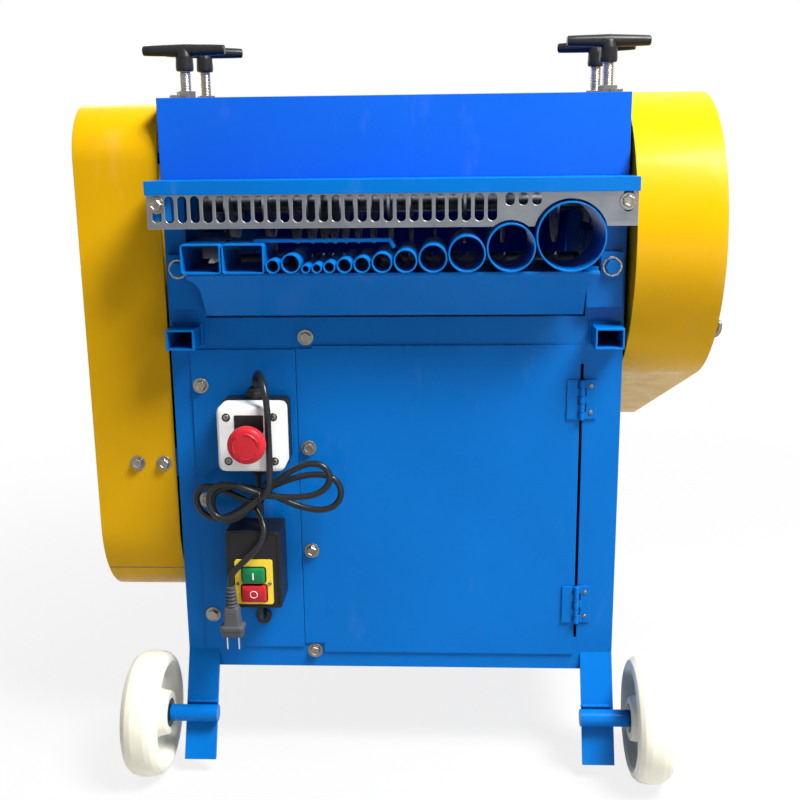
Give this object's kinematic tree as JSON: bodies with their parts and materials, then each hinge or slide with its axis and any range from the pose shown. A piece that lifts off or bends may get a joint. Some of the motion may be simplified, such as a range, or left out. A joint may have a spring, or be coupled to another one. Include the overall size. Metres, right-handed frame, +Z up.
{
  "type": "wire stripping machine",
  "caption": "Blue floor-standing scrap cable stripper with graded feed tubes, screw-set cutter shaft, yellow belt guards, front cabinet and two cream wheels.",
  "frame": {"origin": "on the floor under the middle of the bounding box", "axes": "+X to the right seen from the operator, +Y from the operator to the back, +Z up"},
  "size_m": [0.712, 0.6727, 0.8178],
  "materials": {
    "blue_paint": "gloss paint",
    "yellow_paint": "gloss paint",
    "zinc": "zinc plated",
    "bright_steel": "turned steel",
    "stainless": "brushed stainless sheet",
    "cast_iron": "machined cast iron",
    "black_plastic": "matte",
    "black_rubber": "satin",
    "white_plastic": "satin",
    "red_plastic": "satin",
    "green_plastic": "satin",
    "yellow_plastic": "gloss",
    "brass": "plain",
    "cream_nylon": "waxy nylon",
    "handle_black": "black oxide and plastic grip"
  },
  "bodies": {
    "machine": {"side_plates": "blue_paint", "front_posts": "blue_paint", "rear_posts": "blue_paint", "front_rails": "blue_paint", "base_tray": "blue_paint", "handle_sockets": "blue_paint", "rear_panel": "blue_paint", "rear_hood": "blue_paint", "top_cover": "blue_paint", "screw_nuts": "zinc", "visor_ledge": "blue_paint", "tube_shelf": "blue_paint", "feed_tubes_square": "blue_paint", "feed_tubes_round": "blue_paint", "hold_down_strip": "blue_paint", "switch_panel": "blue_paint", "frame_bolts": "zinc", "left_guard": "yellow_paint", "right_guard": "yellow_paint", "guard_stays": "blue_paint", "guard_knobs": "zinc", "hinge_leaves": "blue_paint", "estop_base": "black_plastic", "estop_cover": "white_plastic", "estop_glands": "black_plastic", "switch_box": "black_plastic", "switch_plate": "yellow_plastic", "switch_cables": "black_rubber", "shaft_bearings": "bright_steel", "motor": "blue_paint", "drive_belts": "black_rubber", "stub_axles": "blue_paint", "cord_lead": "black_rubber", "cord_hank": "black_rubber", "cord_tail": "black_rubber", "cord_tie": "black_plastic", "plug_body": "black_rubber", "plug_blades": "brass"},
    "carriage": {"bearing_blocks": "bright_steel"},
    "cutter": {"cutter_shaft": "bright_steel", "cutter_blades": "bright_steel"},
    "roller": {"feed_roller": "bright_steel", "roller_gear": "cast_iron"},
    "jack": {"jack_shaft": "cast_iron"},
    "rotor": {"motor_pulley": "cast_iron"},
    "guide": {"guide_plate": "stainless"},
    "front_door": {"door": "blue_paint", "door_leaves": "blue_paint", "door_bolts": "zinc"},
    "wheel_l": {"wheel_left": "cream_nylon"},
    "wheel_r": {"wheel_right": "cream_nylon"},
    "screw_fl": {"t_handle_front_left": "handle_black"},
    "screw_fr": {"t_handle_front_right": "handle_black"},
    "screw_rl": {"t_handle_rear_left": "handle_black"},
    "screw_rr": {"t_handle_rear_right": "handle_black"},
    "stop_stem": {"estop_stem": "black_plastic"},
    "stop_head": {"estop_head": "red_plastic"},
    "start_key": {"button_start": "green_plastic"},
    "stop_key": {"button_stop": "red_plastic"}
  },
  "joints": [
    {"name": "cutter_lift", "type": "slide", "parent": "machine", "child": "carriage", "axis": [0, 0, 1], "range_m": [0, 0.006]},
    {"name": "roller_spin", "type": "hinge", "parent": "machine", "child": "roller", "pos_m": [0, -0.10861, 0.545], "axis": [1, 0, 0], "continuous": true},
    {"name": "cutter_spin", "type": "hinge", "parent": "carriage", "child": "cutter", "pos_m": [0, -0.10861, 0.645], "axis": [1, 0, 0], "continuous": true},
    {"name": "jack_spin", "type": "hinge", "parent": "machine", "child": "jack", "pos_m": [0, 0.15139, 0.44], "axis": [1, 0, 0], "continuous": true},
    {"name": "motor_spin", "type": "hinge", "parent": "machine", "child": "rotor", "pos_m": [0, -0.10861, 0.285], "axis": [1, 0, 0], "continuous": true},
    {"name": "guide_lift", "type": "slide", "parent": "machine", "child": "guide", "axis": [0, 0, 1], "range_m": [0, 0.005]},
    {"name": "door_swing", "type": "hinge", "parent": "machine", "child": "front_door", "pos_m": [0.20245, -0.23351, 0.31], "axis": [0, 0, 1], "range_deg": [0, 110], "deforming": ["cord_hank"]},
    {"name": "wheel_left_spin", "type": "hinge", "parent": "machine", "child": "wheel_l", "pos_m": [-0.282, -0.26639, 0.07], "axis": [1, 0, 0], "continuous": true},
    {"name": "wheel_right_spin", "type": "hinge", "parent": "machine", "child": "wheel_r", "pos_m": [0.282, -0.26639, 0.07], "axis": [1, 0, 0], "continuous": true},
    {"name": "stop_push", "type": "slide", "parent": "machine", "child": "stop_stem", "axis": [0, 1, 0], "range_m": [0, 0.005]},
    {"name": "stop_twist", "type": "hinge", "parent": "stop_stem", "child": "stop_head", "pos_m": [-0.1514, -0.29861, 0.4], "axis": [0, 1, 0], "range_deg": [0, 45], "stiffness_Nm_per_rad": 0.15},
    {"name": "start_push", "type": "slide", "parent": "machine", "child": "start_key", "axis": [0, 1, 0], "range_m": [0, 0.003], "stiffness_N_per_m": 400},
    {"name": "stop_key_push", "type": "slide", "parent": "machine", "child": "stop_key", "axis": [0, 1, 0], "range_m": [0, 0.003], "stiffness_N_per_m": 400},
    {"name": "screw_fl_turn", "type": "hinge", "parent": "carriage", "child": "screw_fl", "pos_m": [-0.2297, -0.15861, 0.78], "axis": [0, 0, 1], "range_deg": [0, 1080]},
    {"name": "screw_fr_turn", "type": "hinge", "parent": "carriage", "child": "screw_fr", "pos_m": [0.2297, -0.15861, 0.78], "axis": [0, 0, 1], "range_deg": [0, 1080]},
    {"name": "screw_rl_turn", "type": "hinge", "parent": "carriage", "child": "screw_rl", "pos_m": [-0.2297, -0.05861, 0.78], "axis": [0, 0, 1], "range_deg": [0, 1080]},
    {"name": "screw_rr_turn", "type": "hinge", "parent": "carriage", "child": "screw_rr", "pos_m": [0.2297, -0.05861, 0.78], "axis": [0, 0, 1], "range_deg": [0, 1080]}
  ],
  "couplings": [
    {"joint": "cutter_spin", "follows": "roller_spin", "ratio": -1},
    {"joint": "jack_spin", "follows": "roller_spin", "ratio": 2.5198},
    {"joint": "motor_spin", "follows": "roller_spin", "ratio": 5.5044},
    {"joint": "screw_fl_turn", "follows": "cutter_lift", "rad_per_m": 3141.6},
    {"joint": "screw_fr_turn", "follows": "cutter_lift", "rad_per_m": 3141.6},
    {"joint": "screw_rl_turn", "follows": "cutter_lift", "rad_per_m": 3141.6},
    {"joint": "screw_rr_turn", "follows": "cutter_lift", "rad_per_m": 3141.6}
  ]
}
